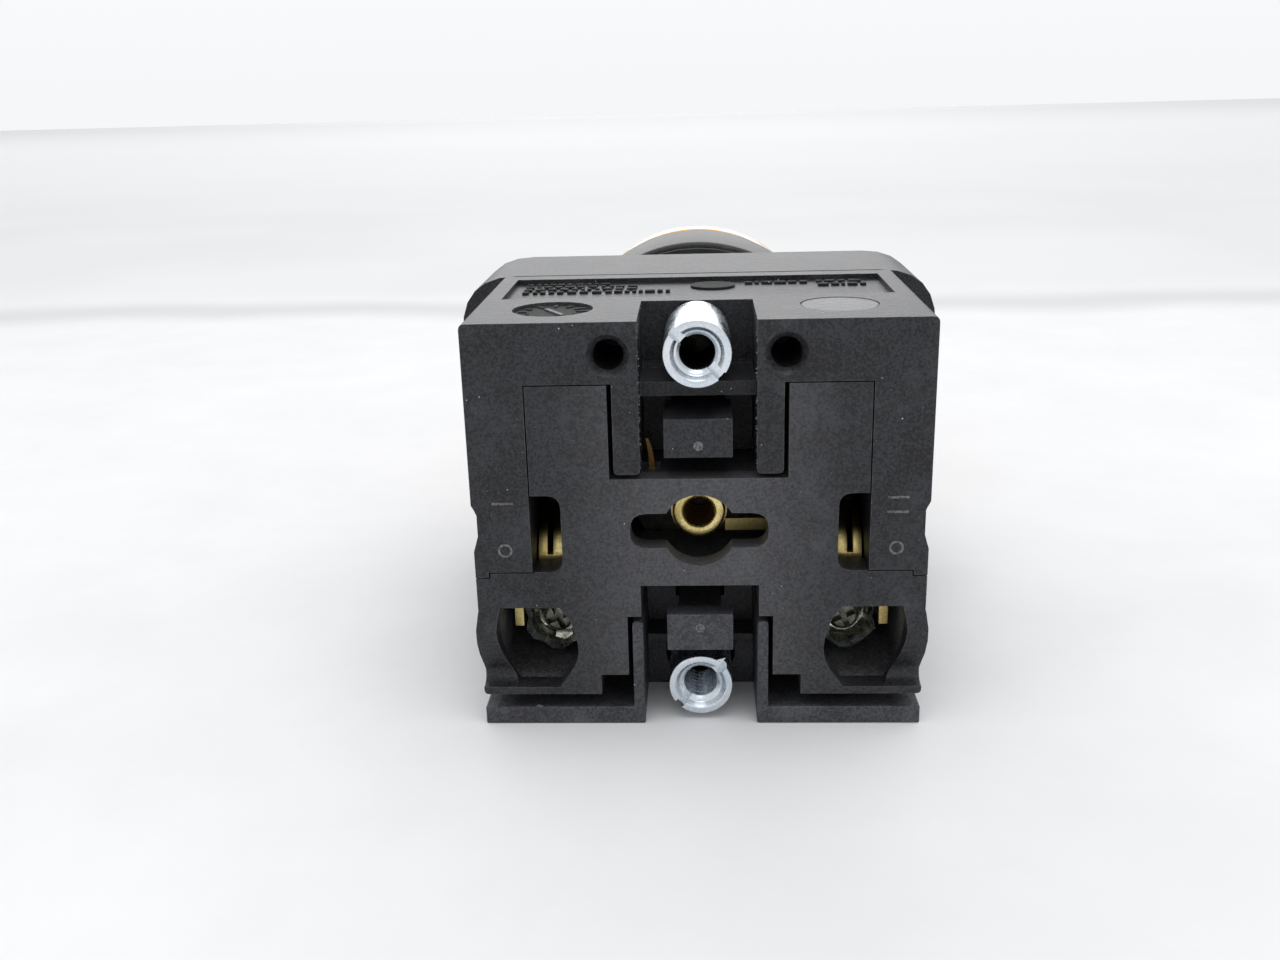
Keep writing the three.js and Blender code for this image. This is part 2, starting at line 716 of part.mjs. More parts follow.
add('stacking_screw_upper', stackingScrew(0, SLOT.depth - GAP, UPPER_SCREW_Y, -0.75), ZINC);
add('stacking_screw_lower', stackingScrew(0.6, PIT.depth - GAP, LOWER_SCREW_Y, 0.75), ZINC);
add('push_rod_upper', pushRod(UPPER_ROD), PLASTIC);
add('push_rod_lower', pushRod(LOWER_ROD), PLASTIC);

// x becomes -X, y becomes +Z and the rear face looks along +Y.
const turned = new THREE.Matrix4().makeBasis(
  new THREE.Vector3(-1, 0, 0),
  new THREE.Vector3(0, 0, 1),
  new THREE.Vector3(0, 1, 0),
);
parts.setRotationFromMatrix(turned);
parts.position.set(0, TOTAL_LENGTH / 2, 0);

const pushButton = new THREE.Group();
pushButton.add(parts);

export default pushButton;
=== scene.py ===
# Looks for an illuminated push button that lies on a pale table, seen from its rear.
import json
import math
import random

import bmesh
import bpy
from mathutils import Matrix, Vector


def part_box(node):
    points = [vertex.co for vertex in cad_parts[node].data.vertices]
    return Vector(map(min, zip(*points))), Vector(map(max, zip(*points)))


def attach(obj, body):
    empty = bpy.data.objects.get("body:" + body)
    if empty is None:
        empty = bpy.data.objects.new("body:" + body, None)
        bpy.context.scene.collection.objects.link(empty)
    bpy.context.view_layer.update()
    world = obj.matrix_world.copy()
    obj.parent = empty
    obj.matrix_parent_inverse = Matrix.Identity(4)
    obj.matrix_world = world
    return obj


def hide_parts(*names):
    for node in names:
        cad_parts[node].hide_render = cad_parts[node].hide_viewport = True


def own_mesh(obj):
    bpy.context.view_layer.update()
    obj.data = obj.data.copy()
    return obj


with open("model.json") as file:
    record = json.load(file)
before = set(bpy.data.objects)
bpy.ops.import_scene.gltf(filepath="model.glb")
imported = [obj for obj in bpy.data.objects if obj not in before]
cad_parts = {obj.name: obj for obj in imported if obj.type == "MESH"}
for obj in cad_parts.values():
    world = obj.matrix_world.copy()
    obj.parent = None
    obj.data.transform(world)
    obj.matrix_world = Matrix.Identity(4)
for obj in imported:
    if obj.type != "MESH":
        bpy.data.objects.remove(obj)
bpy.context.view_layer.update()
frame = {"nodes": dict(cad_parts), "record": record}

MM = 0.001
RECORD = frame["record"]
BODY_OF = {
    node: body for body, nodes in RECORD["behaviour"]["bodies"].items() for node in nodes
}
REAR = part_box("upper_shell")[1].y  # the lamp block's rear face
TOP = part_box("upper_shell")[1].z
SIDES = ("left", "right")
TRAVEL = 4 * MM  # of the button
LABEL_DEPTH = 0.4 * MM  # of the recess in the top face

# The camera's place and direction
CAMERA_AT = Vector((-0.1 * MM, REAR + 75.6 * MM, 42.5 * MM))
CAMERA_HEADING = math.radians(-2.95)  # away from straight at the rear face
CAMERA_PITCH = math.radians(18.1)
CAMERA_ROLL = math.radians(-1.54)
CAMERA_LENS = 34.5

# The room's brightness on the lens side (-Y), which the top faces mirror, and behind the camera
SKY_AHEAD = 1.0
SKY_BEHIND = 0.79
SKY_LOW = 0.96  # share of that at eye level
SKY_HIGH = 1.08  # and overhead
SKY_COLOUR = (0.96, 0.97, 0.98, 1)

# Round lamps: name, place, target, diameter and power
LAMPS = (
    ("overhead", (-0.03, 0.06, 0.45), (0, 0, 0.01), 0.35, 0.7),
    ("beyond", (0.08, -2.0, 0.62), (0, 0, 0.02), 1.43, 8.0),
)

# The table cloth: its half size, where its crease runs with a band of painted shade, and its tones in front
# of the crease (floor) and behind it (sweep), which gets lighter and then darker with distance as painted
# light and shade
TABLE_REACH = 1.5
CREASE_Y = REAR - 166 * MM
CREASE_SHADE = (0.60, 0.60, 0.60)
FLOOR_DARK = (0.74, 0.74, 0.75)
FLOOR_LIGHT = (0.80, 0.80, 0.81)
SWEEP_DARK = (0.705, 0.705, 0.71)
SWEEP_LIGHT = (0.74, 0.74, 0.74)
SWEEP_MIDDLE = (0.80, 0.80, 0.80)
SWEEP_FAR = (0.63, 0.63, 0.63)

# The lower shell's planes that face the upper shell across the parting gap
TAB_OUTER = 10.85 * MM
STEP_SIDE = 13.8 * MM
TAB_LEDGE = 11.04 * MM
STEP_LEDGE = 10.65 * MM
TAB_TOP = 23.85 * MM
GAP_CLOSED = 0.22 * MM

# The lower shell's terminal wells
WELL_INNER = 7.3 * MM
WELL_OUTER = 14.2 * MM
WELL_BOTTOM = 2.6 * MM
WELL_TOP = 8.8 * MM
WELL_MOUTH_DEPTH = 1.7 * MM
WELL_MIDDLE_MM = 11.6

# The terminal plates' forks in the windows: where they start, their outer edge and how far it moves
FORK_FOOT = 9.35 * MM
FORK_EDGE = 10.85 * MM
FORK_WIDENED = 0.2 * MM

SLOT_TURN = 0.75  # of the stacking screws' driver slots, radians
SHADED_LAMP_DEPTH = 9.5 * MM  # the lamp base is painted dark as shade from here to the rear face, where it lies deep in the bore

random.seed(7)


# ---- Camera, lights and table ----


def make_camera():
    heading, pitch, roll = CAMERA_HEADING, CAMERA_PITCH, CAMERA_ROLL
    flat = math.cos(pitch)
    ahead = Vector((-math.sin(heading) * flat, -math.cos(heading) * flat, -math.sin(pitch)))
    right = Vector((-math.cos(heading), math.sin(heading), 0))
    up = right.cross(ahead)
    tilted_right = right * math.cos(roll) + up * math.sin(roll)
    tilted_up = up * math.cos(roll) - right * math.sin(roll)
    rotation = Matrix((tilted_right, tilted_up, -ahead)).transposed().to_4x4()
    data = bpy.data.cameras.new("camera")
    data.lens = CAMERA_LENS
    data.sensor_width = 36
    data.clip_start = 0.002
    data.clip_end = 10
    camera = bpy.data.objects.new("camera", data)
    camera.matrix_world = Matrix.Translation(CAMERA_AT) @ rotation
    bpy.context.scene.collection.objects.link(camera)
    bpy.context.scene.camera = camera


def area_light(name, place, target, size, power):
    data = bpy.data.lights.new(name, "AREA")
    data.shape = "DISK"
    data.size = size
    data.energy = power
    light = bpy.data.objects.new(name, data)
    light.location = place
    direction = Vector(target) - Vector(place)
    light.rotation_euler = direction.to_track_quat("-Z", "Y").to_euler()
    light.visible_camera = False
    bpy.context.scene.collection.objects.link(light)


def make_world():
    """White studio all round, a little dimmer at eye level and on the camera's side."""
    world = bpy.data.worlds.new("studio")
    world.use_nodes = True
    tree = world.node_tree
    direction = tree.nodes.new("ShaderNodeTexCoord").outputs["Generated"]
    axes = tree.nodes.new("ShaderNodeSeparateXYZ")
    tree.links.new(direction, axes.inputs["Vector"])
    strength = tree.nodes.new("ShaderNodeMath")
    strength.operation = "MULTIPLY"
    fades = (("Y", -0.7, 0.7, SKY_AHEAD, SKY_BEHIND), ("Z", 0.0, 0.35, SKY_LOW, SKY_HIGH))
    for socket, (axis, start, end, first, last) in zip(strength.inputs, fades):
        fade = tree.nodes.new("ShaderNodeMapRange")
        fade.inputs["From Min"].default_value = start
        fade.inputs["From Max"].default_value = end
        fade.inputs["To Min"].default_value = first
        fade.inputs["To Max"].default_value = last
        tree.links.new(axes.outputs[axis], fade.inputs["Value"])
        tree.links.new(fade.outputs["Result"], socket)
    background = tree.nodes["Background"]
    background.inputs["Color"].default_value = SKY_COLOUR
    tree.links.new(strength.outputs["Value"], background.inputs["Strength"])
    bpy.context.scene.world = world


def make_lights():
    make_world()
    for lamp in LAMPS:
        area_light(*lamp)
    view = bpy.context.scene.view_settings
    view.view_transform = "Standard"
    view.look = "None"


def make_table():
    bm = bmesh.new()
    bmesh.ops.create_grid(bm, x_segments=1, y_segments=1, size=TABLE_REACH)
    mesh = bpy.data.meshes.new("table")
    bm.to_mesh(mesh)
    bm.free()
    table = bpy.data.objects.new("table", mesh)
    table.location.z = -0.02 * MM
    bpy.context.scene.collection.objects.link(table)
    table.data.materials.append(table_material())


# ---- Materials ----

# Tones that several materials share
BLACK_TONES = (0.004, 0.004, 0.0055), (0.026, 0.027, 0.032)
BRASS_TONES = (0.88, 0.72, 0.32), (0.62, 0.48, 0.18)
PALE_MIDDLE_BLACK = (0.13, 0.13, 0.14)
WORN_EDGE = (0.22, 0.22, 0.225)
DUST = (0.50, 0.50, 0.49)


class Surface:
    """A material whose patterns are set in millimetres of the object's own space."""

    def __init__(self, name, roughness, metallic=0.0):
        self.material = bpy.data.materials.new(name)
        self.material.use_nodes = True
        self.tree = self.material.node_tree
        self.shader = self.tree.nodes["Principled BSDF"]
        self.shader.inputs["Roughness"].default_value = roughness
        self.shader.inputs["Metallic"].default_value = metallic
        self.coordinates = self.tree.nodes.new("ShaderNodeTexCoord").outputs["Object"]

    def set(self, socket, value):
        target = self.shader.inputs[socket]
        if isinstance(value, bpy.types.NodeSocket):
            self.tree.links.new(value, target)
        else:
            target.default_value = value

    def place(self, per_mm, stretch=(1, 1, 1)):
        """The object's own coordinates, scaled for per_mm features in a millimetre."""
        mapping = self.tree.nodes.new("ShaderNodeMapping")
        mapping.inputs["Scale"].default_value = [per_mm * s / MM for s in stretch]
        self.tree.links.new(self.coordinates, mapping.inputs["Vector"])
        return mapping.outputs["Vector"]

    def noise(self, per_mm, detail=3.0, roughness=0.5, stretch=(1, 1, 1), seed=0.0):
        """Cloudy noise, about 0 to 1, with per_mm features in a millimetre."""
        node = self.tree.nodes.new("ShaderNodeTexNoise")
        node.noise_dimensions = "4D"
        node.inputs["W"].default_value = seed
        node.inputs["Scale"].default_value = 1.0
        node.inputs["Detail"].default_value = detail
        node.inputs["Roughness"].default_value = roughness
        self.tree.links.new(self.place(per_mm, stretch), node.inputs["Vector"])
        return node.outputs["Fac"]

    def specks(self, per_mm, radius_mm, seed=0.0):
        """High inside small round grains, scattered at random."""
        node = self.tree.nodes.new("ShaderNodeTexVoronoi")
        node.voronoi_dimensions = "4D"
        node.inputs["W"].default_value = seed
        node.inputs["Scale"].default_value = 1.0
        self.tree.links.new(self.place(per_mm), node.inputs["Vector"])
        edge = radius_mm * per_mm
        return self.span(node.outputs["Distance"], edge, 0.5 * edge)

    def axis(self, name):
        """The object's own x, y or z, in metres."""
        node = self.tree.nodes.new("ShaderNodeSeparateXYZ")
        self.tree.links.new(self.coordinates, node.inputs["Vector"])
        return node.outputs[name]

    def span(self, value, low, high, to_low=0.0, to_high=1.0):
        """The value eased from to_low, where it is low, to to_high, where it is high."""
        node = self.tree.nodes.new("ShaderNodeMapRange")
        node.interpolation_type = "SMOOTHSTEP"
        node.inputs["From Min"].default_value = low
        node.inputs["From Max"].default_value = high
        node.inputs["To Min"].default_value = to_low
        node.inputs["To Max"].default_value = to_high
        self.tree.links.new(value, node.inputs["Value"])
        return node.outputs["Result"]

    def math(self, operation, first, second):
        node = self.tree.nodes.new("ShaderNodeMath")
        node.operation = operation
        for socket, value in zip(node.inputs, (first, second)):
            if isinstance(value, bpy.types.NodeSocket):
                self.tree.links.new(value, socket)
            else:
                socket.default_value = value
        return node.outputs["Value"]

    def blend(self, amount, first, second):
        node = self.tree.nodes.new("ShaderNodeMix")
        node.data_type = "RGBA"
        self.tree.links.new(amount, node.inputs["Factor"])
        for socket, value in ((node.inputs["A"], first), (node.inputs["B"], second)):
            if isinstance(value, bpy.types.NodeSocket):
                self.tree.links.new(value, socket)
            else:
                socket.default_value = (*value, 1)
        return node.outputs["Result"]

    def edges(self, radius_mm):
        """High along edges, where a rounded normal leaves the true one."""
        rounded = self.tree.nodes.new("ShaderNodeBevel")
        rounded.samples = 4
        rounded.inputs["Radius"].default_value = radius_mm * MM
        geometry = self.tree.nodes.new("ShaderNodeNewGeometry")
        dot = self.tree.nodes.new("ShaderNodeVectorMath")
        dot.operation = "DOT_PRODUCT"
        self.tree.links.new(rounded.outputs["Normal"], dot.inputs[0])
        self.tree.links.new(geometry.outputs["Normal"], dot.inputs[1])
        return self.span(dot.outputs["Value"], 0.97, 0.80)

    def bump(self, height, distance_mm, strength=1.0):
        node = self.tree.nodes.new("ShaderNodeBump")
        node.inputs["Distance"].default_value = distance_mm * MM
        node.inputs["Strength"].default_value = strength
        self.tree.links.new(height, node.inputs["Height"])
        self.tree.links.new(node.outputs["Normal"], self.shader.inputs["Normal"])


def moulded_plastic(name, dark, light, dust=1.0, roughness=0.42, wear=0.5, middle_haze=0.0):
    """Black plastic with a fine mottle, hazy patches, dust and slightly pale edges.

    middle_haze is how much paler it is in the middle of its width.
    """
    surface = Surface(name, roughness)
    grain = surface.noise(6, detail=2, roughness=0.6)
    tone = surface.noise(0.35, detail=4, seed=0.8)
    fine_share = surface.math("MULTIPLY", grain, 0.75)
    mottle = surface.math("ADD", fine_share, surface.math("MULTIPLY", tone, 0.25))
    base = surface.blend(surface.span(mottle, 0.40, 0.60), dark, light)
    haze = surface.noise(0.25, detail=7, roughness=0.7, seed=3.1)
    pale = tuple(1.7 * channel + 0.03 for channel in light)
    hazed = surface.blend(surface.span(haze, 0.50, 0.80, 0, 0.6), base, pale)
    if middle_haze:
        away = surface.math("ABSOLUTE", surface.axis("X"), 0)
        middle = surface.math("MULTIPLY", surface.span(away, 11 * MM, 2 * MM, 0, middle_haze), grain)
        hazed = surface.blend(middle, hazed, PALE_MIDDLE_BLACK)
    rubbed = surface.math("MULTIPLY", surface.edges(0.12), surface.noise(2.2, seed=1.7))
    worn = surface.blend(surface.span(rubbed, 0.25, 0.75, 0, wear), hazed, WORN_EDGE)
    coarse = surface.specks(1.5, 0.068 * dust)
    fine = surface.specks(2.8, 0.035 * dust, seed=4.0)
    dusty = surface.math("MAXIMUM", coarse, surface.math("MULTIPLY", fine, 0.6))
    surface.set("Base Color", surface.blend(dusty, worn, DUST))
    surface.set("Roughness", surface.span(mottle, 0.3, 0.7, roughness, roughness + 0.07))
    surface.set("Specular IOR Level", 0.4)
    pits = surface.math("MULTIPLY", surface.noise(2.6, detail=2, seed=6.6), 1.2)
    relief = surface.math("ADD", surface.math("ADD", grain, pits), dusty)
    surface.bump(relief, 0.05, 0.8)
    return surface.material


def plated_metal(
    name, colour, shade, roughness, grain=(1, 1, 1), streak=0.5, grime=0.45, patch=0.5, dark_from=None,
):
    """Bright plating with a faint tint, fine tool marks and dull patches.

    dark_from is the height from which it is darkened upward with painted shade.
    """
    surface = Surface(name, roughness, 1.0)
    cloud = surface.noise(patch, detail=5)
    tool = surface.noise(7, detail=2, stretch=grain, seed=2.2)
    cloud_share = surface.math("MULTIPLY", cloud, 0.6)
    mixed = surface.math("ADD", cloud_share, surface.math("MULTIPLY", tool, 0.4))
    tinted = surface.blend(surface.span(mixed, 0.35, 0.68), colour, shade)
    dirt = surface.span(surface.noise(1.4, detail=6, seed=8.4), 0.60, 0.78, 0, grime)
    dirt_and_shade = surface.blend(dirt, tinted, tuple(0.35 * c for c in shade))
    if dark_from:
        # painted shade: darker from dark_from upward
        painted_shade = surface.span(surface.axis("Z"), dark_from, dark_from + 1.2 * MM)
        dirt_and_shade = surface.blend(painted_shade, dirt_and_shade, tuple(0.07 * c for c in shade))
    surface.set("Base Color", dirt_and_shade)
    surface.set("Roughness", surface.span(mixed, 0.3, 0.7, roughness - 0.07, roughness + 0.16))
    surface.bump(tool, 0.012, streak)
    return surface.material


def rubber_material():
    surface = Surface("rubber", 0.8)
    tone = surface.noise(0.8, detail=5)
    base = surface.blend(surface.span(tone, 0.3, 0.7), (0.012, 0.012, 0.012), (0.035, 0.035, 0.036))
    bloom = surface.span(surface.noise(2.5, detail=4, seed=4.0), 0.62, 0.80, 0, 0.5)
    surface.set("Base Color", surface.blend(bloom, base, (0.11, 0.11, 0.105)))
    surface.set("Roughness", surface.span(tone, 0.3, 0.7, 0.68, 0.88))
    surface.bump(surface.noise(6, detail=4), 0.03, 0.6)
    return surface.material


def amber_material():
    surface = Surface("amber_lens", 0.16)
    flow = surface.noise(0.12, detail=3)
    colour = surface.blend(surface.span(flow, 0.3, 0.7), (0.93, 0.43, 0.045), (0.98, 0.55, 0.10))
    scuff = surface.noise(1.1, detail=7, roughness=0.7, stretch=(1, 0.25, 1), seed=6.0)
    scuffed = surface.span(scuff, 0.62, 0.82, 0, 0.25)
    surface.set("Base Color", surface.blend(scuffed, colour, (0.95, 0.75, 0.45)))
    surface.set("Roughness", surface.span(scuff, 0.45, 0.80, 0.12, 0.38))
    surface.set("Transmission Weight", 0.45)
    surface.set("IOR", 1.49)
    surface.bump(surface.noise(1.6, detail=3, seed=1.0), 0.01, 0.25)
    return surface.material


def white_material():
    surface = Surface("white_diffuser", 0.45)
    tone = surface.noise(0.3, detail=4)
    yellowed = surface.span(tone, 0.3, 0.7)
    surface.set("Base Color", surface.blend(yellowed, (0.80, 0.78, 0.71), (0.88, 0.86, 0.80)))
    surface.set("Roughness", surface.span(tone, 0.3, 0.7, 0.38, 0.55))
    surface.bump(surface.noise(5, detail=3), 0.015, 0.4)
    return surface.material


def fibre_material():
    surface = Surface("fibre", 0.85)
    strand = surface.noise(2.5, detail=6, stretch=(1, 1, 6))
    fibres = surface.span(strand, 0.3, 0.7)
    surface.set("Base Color", surface.blend(fibres, (0.16, 0.09, 0.05), (0.34, 0.22, 0.13)))
    surface.set("Roughness", surface.span(strand, 0.3, 0.7, 0.75, 0.95))
    surface.bump(strand, 0.03, 0.6)
    return surface.material


def glass_material():
    surface = Surface("lamp_glass", 0.03)
    smoke = surface.noise(0.4, detail=4)
    smoked = surface.span(smoke, 0.5, 0.9)
    surface.set("Base Color", surface.blend(smoked, (0.97, 0.97, 0.95), (0.75, 0.74, 0.70)))
    surface.set("Roughness", surface.span(smoke, 0.3, 0.9, 0.02, 0.12))
    surface.set("Transmission Weight", 1.0)
    surface.set("IOR", 1.5)
    return surface.material


def table_material():
    """Pale cloth, with a band of painted shade at the crease beyond the object, and a sweep after it whose
    tone changes as painted light and shade.
    """
    surface = Surface("table", 0.8)
    fold = surface.noise(0.012, detail=2, seed=2.0)
    y = surface.axis("Y")
    crease = surface.math("ADD", y, surface.span(fold, 0.2, 0.8, -0.006, 0.006))
    beyond = surface.span(crease, CREASE_Y + 0.004, CREASE_Y - 0.03)
    near = surface.math("SUBTRACT", crease, CREASE_Y)
    # painted shade along the crease
    shade = surface.span(surface.math("ABSOLUTE", near, 0), 0.016, 0.0, 0, 0.8)
    mottle = surface.noise(0.05, detail=8, roughness=0.6)
    front = surface.blend(surface.span(mottle, 0.2, 0.8), FLOOR_DARK, FLOOR_LIGHT)
    sweep = surface.blend(surface.span(fold, 0.3, 0.7), SWEEP_DARK, SWEEP_LIGHT)
    # painted light and shade: the sweep gets lighter, then darker with distance
    middle = surface.blend(surface.span(y, -0.2, -0.6), sweep, SWEEP_MIDDLE)
    back = surface.blend(surface.span(y, -0.8, -TABLE_REACH), middle, SWEEP_FAR)
    cloth = surface.blend(shade, surface.blend(beyond, front, back), CREASE_SHADE)
    surface.set("Base Color", cloth)
    surface.set("Specular IOR Level", 0.2)
    surface.bump(surface.noise(0.9, detail=6), 0.05, 0.35)
    return surface.material


BLACK = moulded_plastic("black_plastic", *BLACK_TONES)
BLACK_WORN = moulded_plastic("worn_plastic", *BLACK_TONES, middle_haze=0.75)
BLACK_DUSTY = moulded_plastic("dusty_plastic", (0.024, 0.024, 0.028), (0.062, 0.064, 0.072))
BLACK_CLEAN = moulded_plastic("black_bezel", (0.008, 0.008, 0.009), (0.020, 0.020, 0.022), dust=0.5)
BLACK_ROUGH = moulded_plastic(
    "engraved_plastic", (0.003, 0.003, 0.003), (0.014, 0.014, 0.015), roughness=0.7,
)
BLACK_EVEN = moulded_plastic("even_plastic", (0.018, 0.018, 0.020), (0.036, 0.036, 0.040), roughness=0.36)
BLACK_PALE = moulded_plastic(
    "pale_plastic", (0.05, 0.05, 0.055), (0.16, 0.16, 0.165), roughness=0.5, wear=0.8,
)
ZINC = plated_metal(
    "zinc_plate", (0.76, 0.79, 0.82), (0.58, 0.66, 0.74), 0.24,
    grain=(1, 0.15, 1), streak=0.25, grime=0.15,
)
# Dark metal, painted as shade on faces that lie deep in bores
BORE_SHADE = plated_metal("painted_bore_shade", (0.06, 0.055, 0.05), (0.02, 0.018, 0.016), 0.45)
CRIMPED = plated_metal("crimped_plate", (0.74, 0.74, 0.66), (0.22, 0.22, 0.17), 0.20, grime=0.3, patch=1.2)
DULL = plated_metal("dull_plate", (0.22, 0.22, 0.19), (0.08, 0.08, 0.06), 0.35, patch=1.2)
BRASS = plated_metal("brass", *BRASS_TONES, 0.33, grain=(1, 0.3, 1), grime=0.3)
GILT = plated_metal("gilt_eyelet", (0.84, 0.70, 0.32), (0.56, 0.43, 0.16), 0.25, grime=0.2)
# The forks are painted darker from 12 mm up, as shade under the windows' top edges.
FORK_BRASS = plated_metal("fork_brass", *BRASS_TONES, 0.35, grime=0.3, dark_from=12 * MM)
# Tarnished brass for the socket strip, and painted shade inside the eyelet's bore
TARNISH_AND_BORE_SHADE = plated_metal("tarnished_brass_and_bore_shade", (0.50, 0.30, 0.10), (0.30, 0.17, 0.06), 0.45, grime=0.5)
STEEL = plated_metal("spring_steel", (0.62, 0.62, 0.62), (0.40, 0.41, 0.42), 0.30)
RUBBER = rubber_material()
AMBER = amber_material()
WHITE = white_material()
FIBRE = fibre_material()
GLASS = glass_material()


# ---- Mesh tools ----


def finished_mesh(obj):
    """The object's mesh with its modifiers applied."""
    view = bpy.context.evaluated_depsgraph_get()
    return bpy.data.meshes.new_from_object(obj.evaluated_get(view))


def smooth(mesh, angle=35):
    """Smooth shading, with a crease where two faces turn by more than the angle in degrees."""
    for polygon in mesh.polygons:
        polygon.use_smooth = True
    bm = bmesh.new()
    bm.from_mesh(mesh)
    limit = math.radians(angle)
    for edge in bm.edges:
        edge.smooth = len(edge.link_faces) == 2 and edge.calc_face_angle(0) < limit
    bm.to_mesh(mesh)
    bm.free()


def flatten_shading(obj):
    """Keeps the shading of the large faces flat up to their rounded edges."""
    normals = obj.modifiers.new("flat", "WEIGHTED_NORMAL")
    normals.mode = "FACE_AREA"
    normals.weight = 100
    normals.keep_sharp = True
    obj.data = finished_mesh(obj)
    obj.modifiers.clear()


def new_object(name, mesh, material):
    obj = bpy.data.objects.new(name, mesh)
    bpy.context.scene.collection.objects.link(obj)
    mesh.materials.clear()
    mesh.materials.append(material)
    return obj


def stand_for(obj, node):
    """obj takes the CAD node's place on its body, and the node is hidden."""
    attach(obj, BODY_OF[node])
    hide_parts(node)
    return obj


def extra(obj, node):
    """obj is small detail that rides with a CAD node."""
    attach(obj, BODY_OF[node])
    return obj


def mesh_from(bm, name):
    mesh = bpy.data.meshes.new(name)
    bmesh.ops.recalc_face_normals(bm, faces=bm.faces)
    bm.to_mesh(mesh)
    bm.free()
    return mesh


def refined(node, material, edge_mm, segments=2, adjust=None, seams_mm=()):
    """The CAD node's shape with its flat faces merged and its edges rounded.

    The faces stay divided at the x values in seams_mm, which run through a face's openings.
    """
    bm = bmesh.new()
    bm.from_mesh(frame["nodes"][node].data)
    bmesh.ops.remove_doubles(bm, verts=bm.verts, dist=1e-7)
    for x in seams_mm:
        everything = bm.verts[:] + bm.edges[:] + bm.faces[:]
        result = bmesh.ops.bisect_plane(bm, geom=everything, plane_co=(x * MM, 0, 0), plane_no=(1, 0, 0))
        for item in result["geom_cut"]:
            if isinstance(item, bmesh.types.BMEdge):
                item.seam = True
    limit = math.radians(1)
    bmesh.ops.dissolve_limit(bm, angle_limit=limit, verts=bm.verts, edges=bm.edges, delimit={"SEAM"})
    bmesh.ops.dissolve_degenerate(bm, dist=1e-6, edges=bm.edges)
    if adjust:
        adjust(bm)
    obj = new_object("fine_" + node, mesh_from(bm, node), material)
    bevel = obj.modifiers.new("round", "BEVEL")
    bevel.width = edge_mm * MM
    bevel.segments = segments
    bevel.limit_method = "ANGLE"
    bevel.angle_limit = math.radians(32)
    bevel.use_clamp_overlap = True
    obj.data = finished_mesh(obj)
    obj.modifiers.clear()
    smooth(obj.data)
    flatten_shading(obj)
    return stand_for(obj, node)


def paint(obj, material, chosen):
    """A second material on the faces whose middle is chosen."""
    obj.data.materials.append(material)
    for polygon in obj.data.polygons:
        if chosen(polygon.center):
            polygon.material_index = 1


def close_parting_gaps(bm):
    """Brings the lower shell's tabs and ledges up to 0.1 mm from the upper shell."""
    for vert in bm.verts:
        side = math.copysign(1, vert.co.x)
        for plane in (TAB_OUTER, STEP_SIDE):
            if abs(abs(vert.co.x) - plane) < 0.01 * MM and vert.co.z > 10 * MM:
                vert.co.x += side * GAP_CLOSED
        for plane in (TAB_LEDGE, STEP_LEDGE, TAB_TOP):
            if abs(vert.co.z - plane) < 0.01 * MM:
                vert.co.z += GAP_CLOSED


def in_terminal_well(middle):
    """Inside one of the lower shell's two wells, deeper than its mouth."""
    deep = middle.y < REAR - WELL_MOUTH_DEPTH
    return deep and WELL_INNER < abs(middle.x) < WELL_OUTER and WELL_BOTTOM < middle.z < WELL_TOP


def turned_bm(profile, centre, segments=96):
    """A closed loop of (radius, y), in metres, turned about the line through centre along Y."""
    bm = bmesh.new()
    rings = []
    for radius, y in profile:
        if radius < 1e-9:
            rings.append([bm.verts.new((centre.x, y, centre.z))])
            continue
        ring = []
        for i in range(segments):
            angle = 2 * math.pi * i / segments
            ring.append(bm.verts.new((
                centre.x + radius * math.cos(angle), y, centre.z + radius * math.sin(angle),
            )))
        rings.append(ring)
    for first, second in zip(rings, rings[1:] + rings[:1]):
        if len(first) == 1 and len(second) == 1:
            continue
        for i in range(segments):
            j = (i + 1) % segments
            corners = [first[i % len(first)], first[j % len(first)]]
            corners += [second[j % len(second)], second[i % len(second)]]
            bm.faces.new(list(dict.fromkeys(corners)))
    return bm


def centre_of(node):
    low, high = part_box(node)
    return (low + high) / 2


def rounded(profile, radius, steps=3):
    """The loop with each corner marked True as its third value cut to a round."""
    loop = []
    count = len(profile)
    for i, (r, y, *soft) in enumerate(profile):
        corner = Vector((r, y))
        if not soft or r < 1e-9:
            loop.append((r, y))
            continue
        before = Vector(profile[i - 1][:2]) - corner
        after = Vector(profile[(i + 1) % count][:2]) - corner
        reach = min(radius * soft[0], before.length * 0.45, after.length * 0.45)
        start = corner + before.normalized() * reach
        end = corner + after.normalized() * reach
        for step in range(steps + 1):
            t = step / steps
            point = start * (1 - t) ** 2 + corner * 2 * t * (1 - t) + end * t ** 2
            loop.append((point.x, point.y))
    return loop


def cut_with(obj, cutters):
    """Takes the cutter meshes out of the object and leaves it with a plain mesh."""
    tools = []
    for number, mesh in enumerate(cutters):
        tool = bpy.data.objects.new(f"cutter_{number}", mesh)
        bpy.context.scene.collection.objects.link(tool)
        modifier = obj.modifiers.new("cut", "BOOLEAN")
        modifier.operation = "DIFFERENCE"
        modifier.solver = "EXACT"
        modifier.object = tool
        tools.append(tool)
    mesh = finished_mesh(obj)
    obj.modifiers.clear()
    obj.data = mesh
    for tool in tools:
        bpy.data.objects.remove(tool)


def bar_mesh(centre, size, turn_y=0.0, bevel=0.0):
    """A box with rounded edges, turned about the Y axis through its middle."""
    bm = bmesh.new()
    bmesh.ops.create_cube(bm, size=1)
    bmesh.ops.scale(bm, vec=size, verts=bm.verts)
    if bevel:
        bmesh.ops.bevel(bm, geom=bm.edges[:], offset=bevel, segments=2, affect="EDGES", profile=0.5)
    bmesh.ops.rotate(bm, cent=(0, 0, 0), matrix=Matrix.Rotation(turn_y, 3, "Y"), verts=bm.verts)
    bmesh.ops.translate(bm, vec=centre, verts=bm.verts)
    return mesh_from(bm, "bar")


